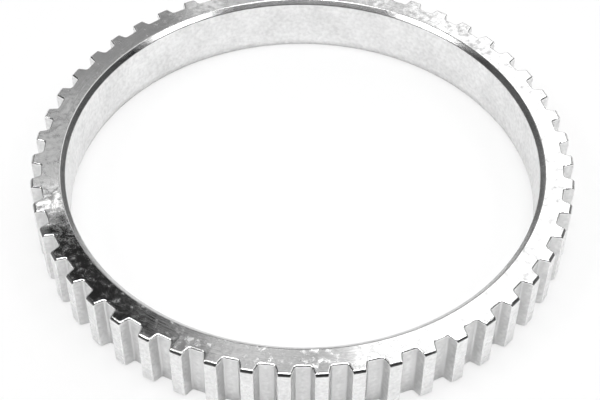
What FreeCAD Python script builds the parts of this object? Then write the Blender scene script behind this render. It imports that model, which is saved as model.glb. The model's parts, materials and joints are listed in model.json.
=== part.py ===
import FreeCAD, Part
import math
import os

# A toothed sensor ring for a wheel speed sensor.
# It is one piece of steel: a turned ring with straight gaps cut across its rim.
# Millimetres, +Z up along the bore.
# The origin is on the bore axis, in the plane of the lower face that the ring rests on.

# Driving dimensions of the turned ring
bore_diameter = 71.0
wall_thickness = 3.55
ring_height = 9.8
mouth_chamfer = 0.65
lead_in_height = 1.6
lead_in_width = 0.5
tip_chamfer = 0.4

# Driving dimensions of the teeth
tooth_count = 51
tooth_depth = 1.6
gap_floor_width = 2.1
flank_angle = 20.0
floor_round = 0.35
edge_break = 0.12
first_tooth_angle = 5.7

# How far the gap cutter runs past the ring on every side
cutter_overrun = 0.5

# Sizes that follow
bore_radius = bore_diameter / 2
floor_radius = bore_radius + wall_thickness
tip_radius = floor_radius + tooth_depth
tooth_pitch = 360.0 / tooth_count
first_gap_angle = first_tooth_angle + tooth_pitch / 2
flank_slope = math.tan(math.radians(flank_angle))
gap_mouth_width = gap_floor_width + 2 * tooth_depth * flank_slope
tooth_land = 2 * tip_radius * math.sin(math.radians(tooth_pitch / 2)) - gap_mouth_width

up = FreeCAD.Vector(0, 0, 1)
ring_centre = FreeCAD.Vector(0, 0, 0)


def turned_ring():
    """The ring as it leaves the lathe: chamfered rims, a chamfered mouth and a lead-in at the foot."""
    section = [
        (bore_radius + lead_in_width, 0),
        (tip_radius - tip_chamfer, 0),
        (tip_radius, tip_chamfer),
        (tip_radius, ring_height - tip_chamfer),
        (tip_radius - tip_chamfer, ring_height),
        (bore_radius + mouth_chamfer, ring_height),
        (bore_radius, ring_height - mouth_chamfer),
        (bore_radius, lead_in_height),
    ]
    corners = [FreeCAD.Vector(radius, 0, height) for radius, height in section]
    outline = Part.makePolygon(corners + corners[:1])
    ring = Part.Face(outline).revolve(ring_centre, up, 360)
    # The turn starts in the middle of a gap, so that no tooth is split.
    ring.rotate(ring_centre, up, first_gap_angle)
    return ring


def gap_side():
    """One side of a gap that lies along +X: its floor, its sloped flank and the broken edge of the tooth."""
    floor_half = gap_floor_width / 2
    break_radius = tip_radius - edge_break
    break_half = floor_half + (break_radius - floor_radius) * flank_slope
    outer_radius = tip_radius + cutter_overrun
    outer_half = break_half + (outer_radius - break_radius)
    return [(floor_radius, floor_half), (break_radius, break_half), (outer_radius, outer_half)]


def gap_cutter():
    """The body that one gap takes out of the rim, with rounded corners along its floor."""
    side = gap_side()
    outline = side + [(x, -y) for x, y in reversed(side)]
    corners = [FreeCAD.Vector(x, y, -cutter_overrun) for x, y in outline]
    travel = up * (ring_height + 2 * cutter_overrun)
    body = Part.Face(Part.makePolygon(corners + corners[:1])).extrude(travel)
    floor_corners = [
        edge for edge in body.Edges
        if edge.BoundBox.XMax < floor_radius + floor_round and edge.BoundBox.ZLength > ring_height
    ]
    return body.makeFillet(floor_round, floor_corners)


def toothed_ring():
    """The turned ring with a gap between each tooth and the next."""
    cutter = gap_cutter()
    gaps = []
    for gap in range(tooth_count):
        turned_cutter = cutter.copy()
        turned_cutter.rotate(ring_centre, up, first_gap_angle + gap * tooth_pitch)
        gaps.append(turned_cutter)
    return turned_ring().cut(gaps)


os.makedirs("parts", exist_ok=True)
ring = toothed_ring()
ring.Solids[0].exportStep("parts/tone_ring.step")

print("tip diameter", round(2 * tip_radius, 2), "gap floor diameter", round(2 * floor_radius, 2))
print("tooth land before its edges are broken", round(tooth_land, 2))
print("solids", len(ring.Solids), "faces", len(ring.Faces), "valid", ring.isValid())
print("volume", round(ring.Volume, 1))
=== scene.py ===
import json
import math

import bpy
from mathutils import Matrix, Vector


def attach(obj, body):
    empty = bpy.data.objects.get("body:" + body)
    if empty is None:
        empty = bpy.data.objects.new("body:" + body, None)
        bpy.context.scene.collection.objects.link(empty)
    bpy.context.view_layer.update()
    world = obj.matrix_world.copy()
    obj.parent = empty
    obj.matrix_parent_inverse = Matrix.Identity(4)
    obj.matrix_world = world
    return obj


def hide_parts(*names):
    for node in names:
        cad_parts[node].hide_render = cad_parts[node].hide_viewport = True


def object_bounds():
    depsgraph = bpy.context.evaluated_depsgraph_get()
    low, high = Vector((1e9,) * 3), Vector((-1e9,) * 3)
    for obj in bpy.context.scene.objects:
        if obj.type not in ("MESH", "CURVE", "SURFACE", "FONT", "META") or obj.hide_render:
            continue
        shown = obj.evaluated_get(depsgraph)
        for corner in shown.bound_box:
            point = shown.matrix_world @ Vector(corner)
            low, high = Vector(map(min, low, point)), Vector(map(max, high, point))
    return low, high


bl_info = {
    "name": "Toothed sensor ring",
    "version": (1, 0, 0),
    "blender": (4, 5, 0),
    "location": "View3D > Sidebar > Sensor ring",
    "description": "Models a toothed steel sensor ring, its machined finishes and a plain studio",
    "category": "Object",
}

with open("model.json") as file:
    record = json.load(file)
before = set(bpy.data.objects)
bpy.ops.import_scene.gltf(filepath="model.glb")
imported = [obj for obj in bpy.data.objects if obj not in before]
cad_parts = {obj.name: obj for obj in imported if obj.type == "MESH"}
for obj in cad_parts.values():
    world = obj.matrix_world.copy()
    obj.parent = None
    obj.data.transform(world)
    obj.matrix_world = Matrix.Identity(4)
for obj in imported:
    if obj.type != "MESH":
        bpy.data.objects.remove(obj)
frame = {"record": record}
cad_low, cad_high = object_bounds()
bore_mount = next(mount for mount in frame["record"]["mounts"] if mount["kind"] == "bore")

RING_NODE = "tone_ring"
RING_BODY = "root"
MM = 0.001
MICRON = 0.000001
FULL_TURN = 2 * math.pi
QUARTER_TURN = math.pi / 2
# Two places nearer than this to one another count as the same.
TOUCH = 0.01 * MM
# Steps that the turned blank has to each tooth.
STEPS_PER_TOOTH = 4
# Edges that turn more than this are sharp and get rounded.
SHARP_TURN = math.radians(28)
# The finishes, in the order of the ring's material slots.
FACE, BORE, CHAMFER, LAND, GAP_FLOOR, FLANK, EDGE = range(7)
# Sockets of a colour Mix node, which share their names with its other kinds of socket.
FIRST_COLOUR, SECOND_COLOUR, MIXED_COLOUR = 6, 7, 2


class RingSizes(bpy.types.PropertyGroup):
    """Sizes of the ring and its teeth."""

    bore_radius: bpy.props.FloatProperty(
        name="Bore radius", description="Radius of the plain bore",
        default=bore_mount["dims"]["r_mm"] * MM, unit="LENGTH", precision=5)
    ring_height: bpy.props.FloatProperty(
        name="Ring height", description="Height of the ring from its lower to its upper face",
        default=cad_high.z - cad_low.z, unit="LENGTH", precision=5)
    tip_radius: bpy.props.FloatProperty(
        name="Tip radius", description="Radius over the tips of the teeth",
        default=40.65 * MM, unit="LENGTH", precision=5)
    tooth_count: bpy.props.IntProperty(
        name="Teeth", description="Number of teeth round the rim", default=51, min=3)
    tooth_depth: bpy.props.FloatProperty(
        name="Tooth depth", description="Depth of the gaps between the teeth",
        default=1.6 * MM, unit="LENGTH", precision=5)
    gap_floor_width: bpy.props.FloatProperty(
        name="Gap floor width", description="Width of a gap along its floor, corner to corner",
        default=2.1 * MM, unit="LENGTH", precision=5)
    flank_angle: bpy.props.FloatProperty(
        name="Flank angle", description="Slope of a tooth flank against the middle line of the gap",
        default=math.radians(20), unit="ROTATION")
    floor_round: bpy.props.FloatProperty(
        name="Floor round", description="Radius of the corners along the floor of a gap",
        default=0.35 * MM, unit="LENGTH", precision=5)
    first_tooth_angle: bpy.props.FloatProperty(
        name="First tooth", description="Angle of the first tooth from the X axis",
        default=math.radians(5.7), unit="ROTATION")
    mouth_chamfer: bpy.props.FloatProperty(
        name="Mouth chamfer", description="Height of the chamfer at the upper end of the bore",
        default=0.65 * MM, unit="LENGTH", precision=5)
    mouth_spread: bpy.props.FloatProperty(
        name="Mouth spread", description="How much wider than high the mouth chamfer is worn",
        default=0.1 * MM, unit="LENGTH", precision=5)
    mouth_round: bpy.props.FloatProperty(
        name="Mouth round", description="How far both edges of the mouth chamfer are rounded",
        default=0.13 * MM, unit="LENGTH", precision=5)
    lead_in_height: bpy.props.FloatProperty(
        name="Lead-in height", description="Height of the tapered lead-in at the foot of the bore",
        default=1.6 * MM, unit="LENGTH", precision=5)
    lead_in_width: bpy.props.FloatProperty(
        name="Lead-in width", description="How far the lead-in opens the foot of the bore",
        default=0.5 * MM, unit="LENGTH", precision=5)
    tip_chamfer: bpy.props.FloatProperty(
        name="Tip chamfer", description="Chamfer round the upper and lower ends of the teeth",
        default=0.4 * MM, unit="LENGTH", precision=5)
    edge_round: bpy.props.FloatProperty(
        name="Edge round", description="How far the sharp edges are rounded by tumbling",
        default=0.15 * MM, unit="LENGTH", precision=5)
    gap_end_round: bpy.props.FloatProperty(
        name="Gap end round",
        description="How far the upper and lower ends of the gaps are rounded",
        default=0.28 * MM, unit="LENGTH", precision=5)


class SteelLooks(bpy.types.PropertyGroup):
    """Colours and finishes of the machined steel."""

    bright_colour: bpy.props.FloatVectorProperty(
        name="Bright steel", description="Colour of the turned surfaces where they are cleanest",
        subtype="COLOR", size=4, min=0, max=1, default=(0.95, 0.95, 0.95, 1))
    dull_colour: bpy.props.FloatVectorProperty(
        name="Dull steel", description="Colour of the turned surfaces in their duller specks",
        subtype="COLOR", size=4, min=0, max=1, default=(0.76, 0.76, 0.76, 1))
    # The chamfers are the same steel as the faces, painted darker: painted shade that dims their
    # reflections.
    chamfer_shaded_colour: bpy.props.FloatVectorProperty(
        name="Chamfers", description="Colour of the chamfers where they are cleanest",
        subtype="COLOR", size=4, min=0, max=1, default=(0.64, 0.64, 0.64, 1))
    dull_chamfer_shaded_colour: bpy.props.FloatVectorProperty(
        name="Dull chamfers", description="Colour of the chamfers in their duller specks",
        subtype="COLOR", size=4, min=0, max=1, default=(0.5, 0.5, 0.5, 1))
    cut_colour: bpy.props.FloatVectorProperty(
        name="Cut steel", description="Colour of the gaps where they are cleanest",
        subtype="COLOR", size=4, min=0, max=1, default=(0.86, 0.86, 0.86, 1))
    dull_cut_colour: bpy.props.FloatVectorProperty(
        name="Dull cut steel", description="Colour of the gaps in their duller specks",
        subtype="COLOR", size=4, min=0, max=1, default=(0.64, 0.64, 0.64, 1))
    # Painted shade: this colour darkens the corners along the gap floors, where the gaps recess.
    corner_shade_colour: bpy.props.FloatVectorProperty(
        name="Gap corner shade",
        description="Colour along the corners of the gaps, where oil and dust stay",
        subtype="COLOR", size=4, min=0, max=1, default=(0.7, 0.7, 0.7, 1))
    face_roughness: bpy.props.FloatProperty(
        name="Face roughness", description="Roughness of the turned faces",
        default=0.1, min=0, max=1)
    speck_roughness: bpy.props.FloatProperty(
        name="Speck roughness", description="Roughness that the dull specks add",
        default=0.3, min=0, max=1)
    bore_roughness: bpy.props.FloatProperty(
        name="Bore roughness", description="Roughness of the bore",
        default=0.4, min=0, max=1)
    chamfer_roughness: bpy.props.FloatProperty(
        name="Chamfer roughness", description="Roughness of the chamfers",
        default=0.22, min=0, max=1)
    land_roughness: bpy.props.FloatProperty(
        name="Tooth land roughness", description="Roughness of the turned tooth tips",
        default=0.3, min=0, max=1)
    gap_roughness: bpy.props.FloatProperty(
        name="Gap roughness", description="Roughness of the cut gaps",
        default=0.36, min=0, max=1)
    edge_roughness: bpy.props.FloatProperty(
        name="Edge roughness", description="Roughness of the rounded edges",
        default=0.16, min=0, max=1)
    face_lean: bpy.props.FloatProperty(
        name="Face lean",
        description="Outward lean of the shallow side of the turning marks on the faces",
        default=math.radians(5), unit="ROTATION")
    # How far the painted corner shade spreads from a gap corner.
    corner_shade_width: bpy.props.FloatProperty(
        name="Gap corner width", description="How far the darker trace spreads from a gap corner",
        default=1.1 * MM, unit="LENGTH", precision=5)


class StudioLooks(bpy.types.PropertyGroup):
    """Camera place, floor colour and light levels."""

    camera_distance: bpy.props.FloatProperty(
        name="Camera distance",
        description="Distance of the camera from the middle of the upper face",
        default=204.4 * MM, unit="LENGTH")
    camera_elevation: bpy.props.FloatProperty(
        name="Camera elevation", description="Angle of the camera above the upper face",
        default=math.radians(45.63), unit="ROTATION")
    camera_roll: bpy.props.FloatProperty(
        name="Camera roll", description="Turn of the camera about its own view line",
        default=math.radians(0.34), unit="ROTATION")
    aim_point: bpy.props.FloatVectorProperty(
        name="Aim point", description="Where the camera aims, on the plane of the upper face",
        subtype="XYZ", size=2, default=(-0.34 * MM, -9.57 * MM))
    lens_length: bpy.props.FloatProperty(
        name="Lens", description="Focal length in millimetres", default=81.6)
    floor_colour: bpy.props.FloatVectorProperty(
        name="Floor", description="Colour of the floor", subtype="COLOR",
        size=4, min=0, max=1, default=(0.97, 0.97, 0.97, 1))
    floor_glow: bpy.props.FloatProperty(
        name="Floor glow", description="Share of plain white in the floor as the camera sees it",
        default=0.7, min=0, max=1)
    mirrored_glow: bpy.props.FloatProperty(
        name="Mirrored glow",
        description="Share of plain white in the floor as the steel mirrors it",
        default=0.1, min=0, max=1)
    room_light: bpy.props.FloatProperty(
        name="Room light", description="Level of the dim upper part of the room",
        default=0.018, min=0, max=1)
    wall_light: bpy.props.FloatProperty(
        name="Wall light", description="Level of the paler walls, low round the set",
        default=0.2, min=0, max=1)


def polar(radius, angle, height=0.0):
    """Point at a radius, an angle and a height."""
    return Vector((radius * math.cos(angle), radius * math.sin(angle), height))


def reach(point):
    """Distance of a point from the bore axis."""
    return Vector(point.xy).length


def select_in(piece, part, test):
    """Selects the vertices, edges or polygons that pass the test, and stays in edit mode."""
    modes = {"vertices": "VERT", "edges": "EDGE", "polygons": "FACE"}
    bpy.ops.object.mode_set(mode="EDIT")
    bpy.ops.mesh.select_mode(type=modes[part])
    bpy.ops.mesh.select_all(action="DESELECT")
    bpy.ops.object.mode_set(mode="OBJECT")
    for item in getattr(piece.data, part):
        item.select = test(item)
    bpy.ops.object.mode_set(mode="EDIT")


def ends_of(piece, edge):
    """Places of the two ends of an edge."""
    return [piece.data.vertices[index].co for index in edge.vertices]


def apply_place():
    """Moves the place, turn and scale of the active piece into its mesh."""
    bpy.ops.object.transform_apply(location=True, rotation=True, scale=True)


def apply_modifier(piece, kind, **settings):
    """Adds a modifier to a piece, sets it and applies it."""
    bpy.context.view_layer.objects.active = piece
    modifier = piece.modifiers.new(kind.title(), kind)
    for name, value in settings.items():
        setattr(modifier, name, value)
    bpy.ops.object.modifier_apply(modifier=modifier.name)


def spin_selected(steps, angle, copies=False):
    """Spins the selected shape about the bore axis, as a surface or as separate copies."""
    bpy.ops.mesh.spin(steps=steps, dupli=copies, angle=angle, center=(0, 0, 0), axis=(0, 0, 1))


def turned_section(sizes, start_angle):
    """The section that the lathe leaves, at one angle: a rectangle with four cut corners."""
    wall = sizes.tip_radius - sizes.bore_radius
    middle = sizes.bore_radius + wall / 2
    half_height = sizes.ring_height / 2
    centre = polar(middle, start_angle, half_height)
    bpy.ops.mesh.primitive_plane_add(
        size=1, location=centre, rotation=(QUARTER_TURN, 0, start_angle))
    section = bpy.context.object
    section.scale = (wall, sizes.ring_height, 1)
    apply_place()

    def cut_corner(inside, above, width):
        def is_corner(vertex):
            return (reach(vertex.co) < middle) == inside and (vertex.co.z > half_height) == above
        select_in(section, "vertices", is_corner)
        bpy.ops.mesh.bevel(offset=width, affect="VERTICES")

    cut_corner(True, True, sizes.mouth_chamfer)
    cut_corner(False, True, sizes.tip_chamfer)
    cut_corner(False, False, sizes.tip_chamfer)
    cut_corner(True, False, sizes.lead_in_width)

    # The lead-in is taller than it is wide.
    on_bore = sizes.bore_radius + TOUCH
    select_in(section, "vertices", lambda v: reach(v.co) < on_bore and v.co.z < half_height)
    bpy.ops.transform.translate(value=(0, 0, sizes.lead_in_height - sizes.lead_in_width))
    # The mouth chamfer is worn a little wider than it is high.
    on_top = sizes.ring_height - TOUCH
    select_in(section, "vertices", lambda v: v.co.z > on_top and reach(v.co) < middle)
    bpy.ops.transform.translate(value=polar(sizes.mouth_spread, start_angle))
    return section


def turned_blank(sizes, start_angle, steps):
    """The ring as it leaves the lathe."""
    blank = turned_section(sizes, start_angle)
    bpy.ops.mesh.select_all(action="SELECT")
    bpy.ops.mesh.delete(type="ONLY_FACE")
    bpy.ops.mesh.select_all(action="SELECT")
    spin_selected(steps, FULL_TURN)
    bpy.ops.mesh.select_all(action="SELECT")
    bpy.ops.mesh.remove_doubles(threshold=0.001 * MM)
    bpy.ops.mesh.normals_make_consistent(inside=False)

    # Both edges of the mouth chamfer are rounded.
    mouth = sizes.bore_radius + sizes.mouth_chamfer + sizes.mouth_spread
    mouth_heights = (sizes.ring_height, sizes.ring_height - sizes.mouth_chamfer)

    def is_mouth_edge(edge):
        start, end = ends_of(blank, edge)
        runs_round = abs(reach(start) - reach(end)) < TOUCH
        at_mouth = any(abs(start.z - height) < TOUCH for height in mouth_heights)
        return runs_round and at_mouth and reach(start) < mouth + TOUCH

    select_in(blank, "edges", is_mouth_edge)
    bpy.ops.mesh.bevel(offset=sizes.mouth_round, segments=4, affect="EDGES")
    bpy.ops.object.mode_set(mode="OBJECT")
    return blank


def gap_cutters(sizes, start_angle):
    """The bodies that the gaps take out of the rim: one is shaped, the rest are copies of it."""
    overrun = 0.5 * MM
    floor_radius = sizes.tip_radius - sizes.tooth_depth
    length = sizes.tooth_depth + overrun
    middle = floor_radius + length / 2
    bpy.ops.mesh.primitive_cube_add(size=1, location=(middle, 0, sizes.ring_height / 2))
    cutters = bpy.context.object
    cutters.scale = (length, sizes.gap_floor_width, sizes.ring_height + 2 * overrun)
    apply_place()
    mouth_width = sizes.gap_floor_width + 2 * length * math.tan(sizes.flank_angle)
    select_in(cutters, "vertices", lambda v: v.co.x > middle)
    bpy.ops.transform.resize(
        value=(1, mouth_width / sizes.gap_floor_width, 1), center_override=(0, 0, 0))

    def is_floor_corner(edge):
        start, end = ends_of(cutters, edge)
        return start.x < middle and end.x < middle and abs(start.z - end.z) > sizes.ring_height

    select_in(cutters, "edges", is_floor_corner)
    corner_reach = sizes.floor_round * math.tan((QUARTER_TURN - sizes.flank_angle) / 2)
    bpy.ops.mesh.bevel(offset=corner_reach, segments=6, affect="EDGES")
    bpy.ops.object.mode_set(mode="OBJECT")
    cutters.rotation_euler.z = start_angle
    apply_place()
    bpy.ops.object.mode_set(mode="EDIT")
    bpy.ops.mesh.select_all(action="SELECT")
    copies = sizes.tooth_count - 1
    spin_selected(copies, FULL_TURN * copies / sizes.tooth_count, copies=True)
    bpy.ops.mesh.select_all(action="SELECT")
    bpy.ops.mesh.normals_make_consistent(inside=False)
    bpy.ops.object.mode_set(mode="OBJECT")
    return cutters


def add_node(tree, kind, inputs=None, **settings):
    """Adds a node, sets its options, and gives its inputs their values or links."""
    node = tree.nodes.new(kind)
    for name, value in settings.items():
        setattr(node, name, value)
    for socket, source in (inputs or {}).items():
        if isinstance(source, bpy.types.NodeSocket):
            tree.links.new(source, node.inputs[socket])
        else:
            node.inputs[socket].default_value = source
    return node


def number(tree, operation, *values):
    """The result of a sum on sockets and plain numbers."""
    return add_node(tree, "ShaderNodeMath", dict(enumerate(values)), operation=operation).outputs[0]


def spread(tree, value, start, end, low=0.0, high=1.0):
    """Maps a value from one range to another, and keeps it there."""
    node = add_node(tree, "ShaderNodeMapRange", {0: value, 1: start, 2: end, 3: low, 4: high})
    return node.outputs[0]


def weighted_sum(tree, parts):
    """Adds sockets up, each times its weight."""
    total = 0.0
    for socket, weight in parts:
        total = number(tree, "MULTIPLY_ADD", socket, weight, total)
    return total


def new_group(name, inputs, outputs):
    """An empty node group with named number inputs and outputs."""
    tree = bpy.data.node_groups.new(name, "ShaderNodeTree")
    for label, value in inputs.items():
        socket = tree.interface.new_socket(label, in_out="INPUT", socket_type="NodeSocketFloat")
        socket.default_value = value
    for label in outputs:
        tree.interface.new_socket(label, in_out="OUTPUT", socket_type="NodeSocketFloat")
    return tree, add_node(tree, "NodeGroupInput").outputs, add_node(tree, "NodeGroupOutput").inputs


def ring_place_group():
    """Where a point lies on the ring: its radius, its angle about the bore and its height."""
    tree, _, result = new_group("ring_place", {}, ("Radius", "Angle", "Height"))
    place = add_node(tree, "ShaderNodeTexCoord").outputs["Object"]
    axes = add_node(tree, "ShaderNodeSeparateXYZ", {0: place}).outputs
    flat = add_node(tree, "ShaderNodeCombineXYZ", {0: axes[0], 1: axes[1]}).outputs[0]
    radius = add_node(tree, "ShaderNodeVectorMath", {0: flat}, operation="LENGTH").outputs["Value"]
    tree.links.new(radius, result["Radius"])
    tree.links.new(number(tree, "ARCTAN2", axes[1], axes[0]), result["Angle"])
    tree.links.new(axes[2], result["Height"])
    return tree


def tool_marks_group():
    """Fine uneven lines that a cutting tool leaves, and the broader bands that they gather in."""
    inputs = {"Across": 0, "Lines per metre": 4500}
    tree, given, result = new_group("tool_marks", inputs, ("Lines", "Bands"))
    across = number(tree, "MULTIPLY", given["Across"], given["Lines per metre"])
    for label, scale, detail in (("Lines", 1, 2), ("Bands", 0.15, 1)):
        noise = add_node(tree, "ShaderNodeTexNoise", {"W": across, "Scale": scale, "Detail": detail},
                         noise_dimensions="1D")
        tree.links.new(noise.outputs[0], result[label])
    return tree


def plating_cloud_group():
    """The cloudy speckle of the plating: small grains on larger patches."""
    tree, given, result = new_group(
        "plating_cloud", {"Grain size": 0.5 * MM, "Patch size": 4 * MM}, ("Grain", "Patch"))
    place = add_node(tree, "ShaderNodeTexCoord").outputs["Object"]
    for label in ("Grain", "Patch"):
        scale = number(tree, "DIVIDE", 1, given[label + " size"])
        noise = add_node(tree, "ShaderNodeTexNoise", {"Vector": place, "Scale": scale, "Detail": 2})
        tree.links.new(noise.outputs[0], result[label])
    return tree


def painted_corner_shade_group():
    """How near a point lies to the two corners along the floor of its gap, from 0 to 1: the mask of
    the painted shade in the gap corners.
    """
    inputs = {"Radius": 0, "Angle": 0, "Pitch": 1, "First gap": 0,
              "Floor radius": 1, "Corner offset": 1, "Width": 1}
    tree, given, result = new_group("gap_corner", inputs, ("Corner",))
    turned = number(tree, "SUBTRACT", given["Angle"], given["First gap"])
    pitches = number(tree, "DIVIDE", turned, given["Pitch"])
    off_middle = number(tree, "SUBTRACT", pitches, number(tree, "ROUND", pitches))
    pitch_length = number(tree, "MULTIPLY", given["Pitch"], given["Radius"])
    aside = number(tree, "MULTIPLY", number(tree, "ABSOLUTE", off_middle), pitch_length)
    off_corner = number(tree, "SUBTRACT", aside, given["Corner offset"])
    off_floor = number(tree, "SUBTRACT", given["Radius"], given["Floor radius"])
    squares = number(tree, "ADD", number(tree, "MULTIPLY", off_corner, off_corner),
                     number(tree, "MULTIPLY", off_floor, off_floor))
    away = number(tree, "SQRT", squares)
    near = number(tree, "SUBTRACT", 1, number(tree, "DIVIDE", away, given["Width"]))
    tree.links.new(number(tree, "MAXIMUM", near, 0), result["Corner"])
    return tree


def steel_wear_group():
    """How dull the plating is at a point, and how rough the tool and the dull specks leave it."""
    grain_share, patch_share = 0.7, 0.3
    cleanest, dullest = 0.35, 0.7
    smoothest, roughest = 0.35, 0.65
    least_rough, most_rough = 0.8, 1.2
    speck_contrast = 2.2
    inputs = {"Grain": 0.5, "Patch": 0.5, "Bands": 0.5, "Even roughness": 0.3, "Speck roughness": 0}
    tree, given, result = new_group("steel_wear", inputs, ("Dullness", "Roughness"))
    shade = weighted_sum(tree, [(given["Grain"], grain_share), (given["Patch"], patch_share)])
    dullness = spread(tree, shade, cleanest, dullest)
    tree.links.new(dullness, result["Dullness"])
    wear = weighted_sum(tree, [(given["Bands"], 0.5), (given["Patch"], 0.5)])
    unevenness = spread(tree, wear, smoothest, roughest, least_rough, most_rough)
    uneven = number(tree, "MULTIPLY", given["Even roughness"], unevenness)
    specks = number(tree, "POWER", dullness, speck_contrast)
    roughness = number(tree, "MULTIPLY_ADD", specks, given["Speck roughness"], uneven)
    tree.links.new(roughness, result["Roughness"])
    return tree


def machined_steel(name, groups, colours, roughness, across, lines, grain,
                   anisotropic=0.0, lean=0.0, gap=None, speck_roughness=0.0):
    """A machined steel finish: tool marks across a direction, with the plating's speckle on them.

    Lines holds the number of marks in a metre and their depth, grain the size of the plating's
    grains and their depth, and across the weights of the ring's own directions."""
    material = bpy.data.materials.new(name)
    material.use_nodes = True
    tree = material.node_tree
    shader = tree.nodes["Principled BSDF"]
    place = add_node(tree, "ShaderNodeGroup", node_tree=groups["ring_place"]).outputs

    lines_per_metre, line_depth = lines
    marks = add_node(tree, "ShaderNodeGroup", node_tree=groups["tool_marks"])
    across_marks = weighted_sum(tree, [(place[label], weight) for label, weight in across])
    tree.links.new(across_marks, marks.inputs["Across"])
    marks.inputs["Lines per metre"].default_value = lines_per_metre
    grain_size, grain_depth = grain
    cloud = add_node(tree, "ShaderNodeGroup", node_tree=groups["plating_cloud"])
    cloud.inputs["Grain size"].default_value = grain_size

    heights = [(marks.outputs["Lines"], line_depth), (cloud.outputs["Grain"], grain_depth)]
    if lean:
        heights.append((place["Radius"], -math.tan(lean)))
    height = weighted_sum(tree, heights)
    bump = add_node(tree, "ShaderNodeBump", {"Strength": 1, "Distance": 1, "Height": height})
    tree.links.new(bump.outputs[0], shader.inputs["Normal"])

    wear = add_node(tree, "ShaderNodeGroup", node_tree=groups["steel_wear"])
    for source, label in ((cloud, "Grain"), (cloud, "Patch"), (marks, "Bands")):
        tree.links.new(source.outputs[label], wear.inputs[label])
    wear.inputs["Even roughness"].default_value = roughness
    wear.inputs["Speck roughness"].default_value = speck_roughness
    tree.links.new(wear.outputs["Roughness"], shader.inputs["Roughness"])

    bright, dull = colours[:2]
    colour = add_node(tree, "ShaderNodeMix", {"Factor": wear.outputs["Dullness"]}, data_type="RGBA")
    colour.inputs[FIRST_COLOUR].default_value = tuple(bright)
    colour.inputs[SECOND_COLOUR].default_value = tuple(dull)
    steel_colour = colour.outputs[MIXED_COLOUR]
    # Painted shade: the steel is darkened towards the corners along the gap floors.
    if gap:
        corner = add_node(tree, "ShaderNodeGroup", node_tree=groups["gap_corner"])
        for label, value in gap.items():
            corner.inputs[label].default_value = value
        for label in ("Radius", "Angle"):
            tree.links.new(place[label], corner.inputs[label])
        shaded_corners = add_node(tree, "ShaderNodeMix", {"Factor": corner.outputs[0]}, data_type="RGBA")
        tree.links.new(steel_colour, shaded_corners.inputs[FIRST_COLOUR])
        shaded_corners.inputs[SECOND_COLOUR].default_value = tuple(colours[2])
        steel_colour = shaded_corners.outputs[MIXED_COLOUR]
    tree.links.new(steel_colour, shader.inputs["Base Color"])

    shader.inputs["Metallic"].default_value = 1
    if anisotropic:
        # The tool ran round the axis, so highlights spread across its marks.
        shader.inputs["Anisotropic"].default_value = anisotropic
        shader.inputs["Anisotropic Rotation"].default_value = 0.25
        tangent = add_node(tree, "ShaderNodeTangent", direction_type="RADIAL", axis="Z")
        tree.links.new(tangent.outputs[0], shader.inputs["Tangent"])
    return material


def steel_finishes(sizes, looks):
    """The finishes of the ring, in the order of its material slots."""
    trees = (
        ring_place_group(), tool_marks_group(), plating_cloud_group(), steel_wear_group(),
        painted_corner_shade_group())
    groups = {tree.name: tree for tree in trees}
    turned = (looks.bright_colour, looks.dull_colour)
    cut = (looks.cut_colour, looks.dull_cut_colour, looks.corner_shade_colour)
    chamfered = (looks.chamfer_shaded_colour, looks.dull_chamfer_shaded_colour)
    outward = (("Radius", 1),)
    upward = (("Height", 1),)
    both = (("Radius", 1), ("Height", 1))
    along_gap = (("Radius", 1), ("Angle", sizes.tip_radius))
    pitch = FULL_TURN / sizes.tooth_count
    gap = {
        "Pitch": pitch,
        "First gap": sizes.first_tooth_angle + pitch / 2,
        "Floor radius": sizes.tip_radius - sizes.tooth_depth,
        "Corner offset": sizes.gap_floor_width / 2,
        "Width": looks.corner_shade_width,
    }
    return (
        machined_steel("turned_face", groups, turned, looks.face_roughness, outward,
                       lines=(4500, 4 * MICRON), grain=(0.9 * MM, 2.6 * MICRON), anisotropic=0.7,
                       lean=looks.face_lean, speck_roughness=looks.speck_roughness),
        machined_steel("bored_wall", groups, turned, looks.bore_roughness, upward,
                       lines=(3000, 4 * MICRON), grain=(0.6 * MM, 4 * MICRON), anisotropic=0.4),
        machined_steel("turned_chamfer", groups, chamfered, looks.chamfer_roughness, both,
                       lines=(6000, MICRON), grain=(0.6 * MM, MICRON), anisotropic=0.3),
        machined_steel("turned_land", groups, turned, looks.land_roughness, upward,
                       lines=(4000, 3 * MICRON), grain=(0.5 * MM, 4 * MICRON), anisotropic=0.4),
        machined_steel("cut_gap_floor", groups, cut, looks.gap_roughness, along_gap,
                       lines=(5000, 5 * MICRON), grain=(0.6 * MM, 4 * MICRON), gap=gap),
        machined_steel("cut_flank", groups, cut, looks.gap_roughness, along_gap,
                       lines=(5000, 5 * MICRON), grain=(0.6 * MM, 4 * MICRON), gap=gap),
        machined_steel("worn_edge", groups, turned, looks.edge_roughness, both,
                       lines=(5000, MICRON), grain=(0.4 * MM, 2 * MICRON)),
    )


def region_of(face, sizes):
    """The finish that a face of the cut ring gets, told by its place and by the way it looks."""
    middle = (sizes.bore_radius + sizes.tip_radius) / 2
    radius = reach(face.center)
    outward = face.normal.xy.dot(Vector(face.center.xy).normalized())
    upright = abs(face.normal.z)
    if upright > 0.98:
        return FACE
    if radius < middle:
        return CHAMFER if face.normal.z > 0.2 else BORE
    if upright > 0.5:
        return CHAMFER
    if outward > 0.99 and radius > sizes.tip_radius - sizes.tooth_depth / 4:
        return LAND
    return GAP_FLOOR if outward > 0.8 else FLANK


def dress_ring(ring, sizes, looks):
    """Gives the turned faces, the bore, the chamfers, the teeth and the gaps their own finishes."""
    for finish in steel_finishes(sizes, looks):
        ring.data.materials.append(finish)
    for slot in (FACE, BORE, CHAMFER, LAND, GAP_FLOOR, FLANK):
        select_in(ring, "polygons", lambda face: region_of(face, sizes) == slot)
        ring.active_material_index = slot
        bpy.ops.object.material_slot_assign()
    bpy.ops.object.mode_set(mode="OBJECT")


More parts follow.
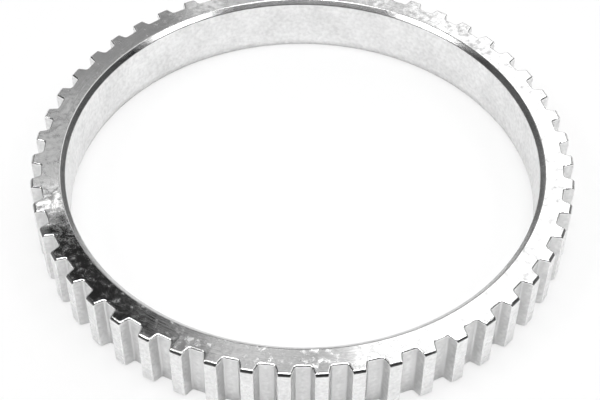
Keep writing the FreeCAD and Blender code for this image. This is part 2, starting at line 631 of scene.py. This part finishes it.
def round_edges(ring, sizes):
    """Rounds the sharp edges, the upper and lower ends of the gaps the most."""
    bpy.ops.object.mode_set(mode="EDIT")
    bpy.ops.mesh.select_mode(type="EDGE")
    bpy.ops.mesh.select_all(action="DESELECT")
    bpy.ops.mesh.edges_select_sharp(sharpness=SHARP_TURN)
    share = sizes.edge_round / sizes.gap_end_round
    bpy.ops.transform.edge_bevelweight(value=share)
    bpy.ops.object.mode_set(mode="OBJECT")
    sharp = {edge.index for edge in ring.data.edges if edge.select}
    half_height = sizes.ring_height / 2
    margin = 0.1 * MM
    innermost = sizes.tip_radius - sizes.tooth_depth - margin
    outermost = sizes.tip_radius - sizes.tip_chamfer - margin

    def is_gap_end(edge):
        start, end = ends_of(ring, edge)
        in_face = abs((start.z + end.z) / 2 - half_height) > half_height - TOUCH
        in_gap = innermost < (reach(start) + reach(end)) / 2 < outermost
        return edge.index in sharp and in_face and in_gap

    select_in(ring, "edges", is_gap_end)
    bpy.ops.transform.edge_bevelweight(value=1 - share)
    bpy.ops.object.mode_set(mode="OBJECT")
    apply_modifier(ring, "BEVEL", width=sizes.gap_end_round, segments=3, limit_method="WEIGHT",
                   use_clamp_overlap=False, material=EDGE)


class TONERING_OT_ring(bpy.types.Operator):
    """Turns the ring, cuts its gaps, rounds its edges and gives it its finishes"""

    bl_idname = "tone_ring.ring"
    bl_label = "Toothed ring"

    def execute(self, context):
        sizes = context.scene.ring_sizes
        bpy.ops.object.select_all(action="DESELECT")
        pitch = FULL_TURN / sizes.tooth_count
        first_gap = sizes.first_tooth_angle + pitch / 2
        # The steps of the blank are set so that none of them meets a flank.
        start_angle = first_gap + pitch / STEPS_PER_TOOTH / 2
        ring = turned_blank(sizes, start_angle, STEPS_PER_TOOTH * sizes.tooth_count)
        ring.name = "toothed_ring"
        cutters = gap_cutters(sizes, first_gap)
        apply_modifier(ring, "BOOLEAN", object=cutters, operation="DIFFERENCE", solver="EXACT")
        bpy.data.objects.remove(cutters)
        bpy.ops.object.select_all(action="DESELECT")
        ring.select_set(True)
        context.view_layer.objects.active = ring
        dress_ring(ring, sizes, context.scene.steel_looks)
        round_edges(ring, sizes)
        bpy.ops.object.shade_smooth()
        apply_modifier(ring, "WEIGHTED_NORMAL", keep_sharp=True)
        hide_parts(RING_NODE)
        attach(ring, RING_BODY)
        return {"FINISHED"}


def add_floor(looks):
    """A wide plain floor. It is partly plain white to the camera, and keeps the ring's shadow."""
    bpy.ops.mesh.primitive_plane_add(size=4, location=(0, 0, 0))
    floor = bpy.context.object
    floor.name = "floor"
    material = bpy.data.materials.new("floor_paint")
    material.use_nodes = True
    tree = material.node_tree
    shader = tree.nodes["Principled BSDF"]
    shader.inputs["Base Color"].default_value = looks.floor_colour
    shader.inputs["Roughness"].default_value = 0.9
    shader.inputs["Specular IOR Level"].default_value = 0.1
    path = add_node(tree, "ShaderNodeLightPath").outputs
    mirrored = number(tree, "MULTIPLY", path["Is Glossy Ray"], looks.mirrored_glow)
    share = number(tree, "MULTIPLY_ADD", path["Is Camera Ray"], looks.floor_glow, mirrored)
    glow = add_node(tree, "ShaderNodeEmission", {"Strength": 1})
    mix = add_node(
        tree, "ShaderNodeMixShader", {0: share, 1: shader.outputs[0], 2: glow.outputs[0]})
    tree.links.new(mix.outputs[0], tree.nodes["Material Output"].inputs["Surface"])
    floor.data.materials.append(material)


def add_lamp(name, azimuth, elevation, size, level, roll=0):
    """A soft lamp a metre off, aimed at the ring. The azimuth runs from the back to the right."""
    turn, rise = math.radians(azimuth), math.radians(elevation)
    place = polar(math.cos(rise), QUARTER_TURN - turn, math.sin(rise))
    bpy.ops.object.light_add(type="AREA", location=place)
    lamp = bpy.context.object
    lamp.name = name
    lamp.data.shape = "RECTANGLE"
    lamp.data.size, lamp.data.size_y = size
    lamp.data.energy = level * math.pi * size[0] * size[1]
    lamp.rotation_euler = (-place).to_track_quat("-Z", "Y").to_euler()
    lamp.rotation_euler.rotate_axis("Z", math.radians(roll))


def add_lamps():
    """Soft lamps at both sides, behind and above the ring, and dim cards between them."""
    add_lamp("left_lamp", -110, 51.5, (0.27, 0.24), 9)
    add_lamp("right_lamp", 110, 51.5, (0.3, 0.26), 5.8)
    add_lamp("left_low_card", -68, 33, (0.5, 0.22), 0.14)
    add_lamp("right_low_card", 68, 33, (0.5, 0.22), 0.1)
    add_lamp("left_high_lamp", -62, 69, (0.18, 0.24), 2.2)
    add_lamp("right_high_lamp", 62, 69, (0.18, 0.24), 2)
    add_lamp("top_lamp", 180, 86, (0.5, 0.4), 8.6)
    add_lamp("back_lamp", 31, 47, (0.52, 0.8), 1.35, roll=18)
    add_lamp("blending_card", 7, 47, (0.07, 0.8), 0.6)
    add_lamp("back_card", -1.3, 28, (0.262, 0.45), 0.52)
    add_lamp("low_card", -24, 24.5, (0.54, 0.36), 0.24)
    add_lamp("upper_card", -29, 40.5, (0.5, 0.17), 0.5)
    add_lamp("edge_strip", -26.5, 46, (0.16, 0.02), 2.6)
    add_lamp("high_card", -12, 61.5, (0.2, 0.2), 0.2)
    add_lamp("middle_card", -8, 64, (0.14, 0.22), 0.46)
    add_lamp("camera_card", 180, 60, (1.2, 0.18), 0.4)


def add_room(looks):
    """A dim room with paler walls round the set, which the camera sees as plain white."""
    world = bpy.data.worlds.new("room")
    bpy.context.scene.world = world
    world.use_nodes = True
    tree = world.node_tree
    path = add_node(tree, "ShaderNodeLightPath").outputs
    direction = add_node(tree, "ShaderNodeTexCoord").outputs["Generated"]
    rise = add_node(tree, "ShaderNodeSeparateXYZ", {0: direction}).outputs["Z"]
    # The walls fade into the dark upper part of the room between these two heights.
    fade_start, fade_end = 0.34, 0.46
    walls = spread(tree, rise, fade_start, fade_end, looks.wall_light, looks.room_light)
    level = spread(tree, path["Is Camera Ray"], 0, 1, walls, 1)
    background = tree.nodes["Background"]
    background.inputs["Color"].default_value = (1, 1, 1, 1)
    tree.links.new(level, background.inputs["Strength"])


def add_camera(looks):
    """The camera at the photograph's angle."""
    tilt = looks.camera_elevation
    away = Vector((0, -math.cos(tilt), math.sin(tilt)))
    place = Vector((0, 0, cad_high.z)) + away * looks.camera_distance
    aim = Vector((looks.aim_point[0], looks.aim_point[1], cad_high.z))
    bpy.ops.object.camera_add(location=place)
    camera = bpy.context.object
    camera.name = "camera"
    camera.rotation_euler = (aim - place).to_track_quat("-Z", "Y").to_euler()
    camera.rotation_euler.rotate_axis("Z", looks.camera_roll)
    camera.data.lens = looks.lens_length
    camera.data.clip_start = 0.01
    bpy.context.scene.camera = camera


class TONERING_OT_studio(bpy.types.Operator):
    """Sets up the floor, the soft lamps, the room and the camera"""

    bl_idname = "tone_ring.studio"
    bl_label = "Studio"

    def execute(self, context):
        looks = context.scene.studio_looks
        bpy.ops.object.select_all(action="DESELECT")
        add_floor(looks)
        add_lamps()
        add_room(looks)
        add_camera(looks)
        context.scene.view_settings.view_transform = "Standard"
        return {"FINISHED"}


class TONERING_PT_panel(bpy.types.Panel):
    """Lists the steps in the sidebar."""

    bl_label = "Sensor ring"
    bl_idname = "TONERING_PT_panel"
    bl_space_type = "VIEW_3D"
    bl_region_type = "UI"
    bl_category = "Sensor ring"

    def draw(self, context):
        for step in (TONERING_OT_ring, TONERING_OT_studio):
            self.layout.operator(step.bl_idname)


classes = (
    RingSizes, SteelLooks, StudioLooks, TONERING_OT_ring, TONERING_OT_studio, TONERING_PT_panel)


def register():
    for entry in classes:
        bpy.utils.register_class(entry)
    bpy.types.Scene.ring_sizes = bpy.props.PointerProperty(type=RingSizes)
    bpy.types.Scene.steel_looks = bpy.props.PointerProperty(type=SteelLooks)
    bpy.types.Scene.studio_looks = bpy.props.PointerProperty(type=StudioLooks)


def unregister():
    del bpy.types.Scene.studio_looks
    del bpy.types.Scene.steel_looks
    del bpy.types.Scene.ring_sizes
    for entry in reversed(classes):
        bpy.utils.unregister_class(entry)


def main():
    register()
    bpy.ops.tone_ring.ring()
    bpy.ops.tone_ring.studio()


if __name__ == "__main__":
    main()
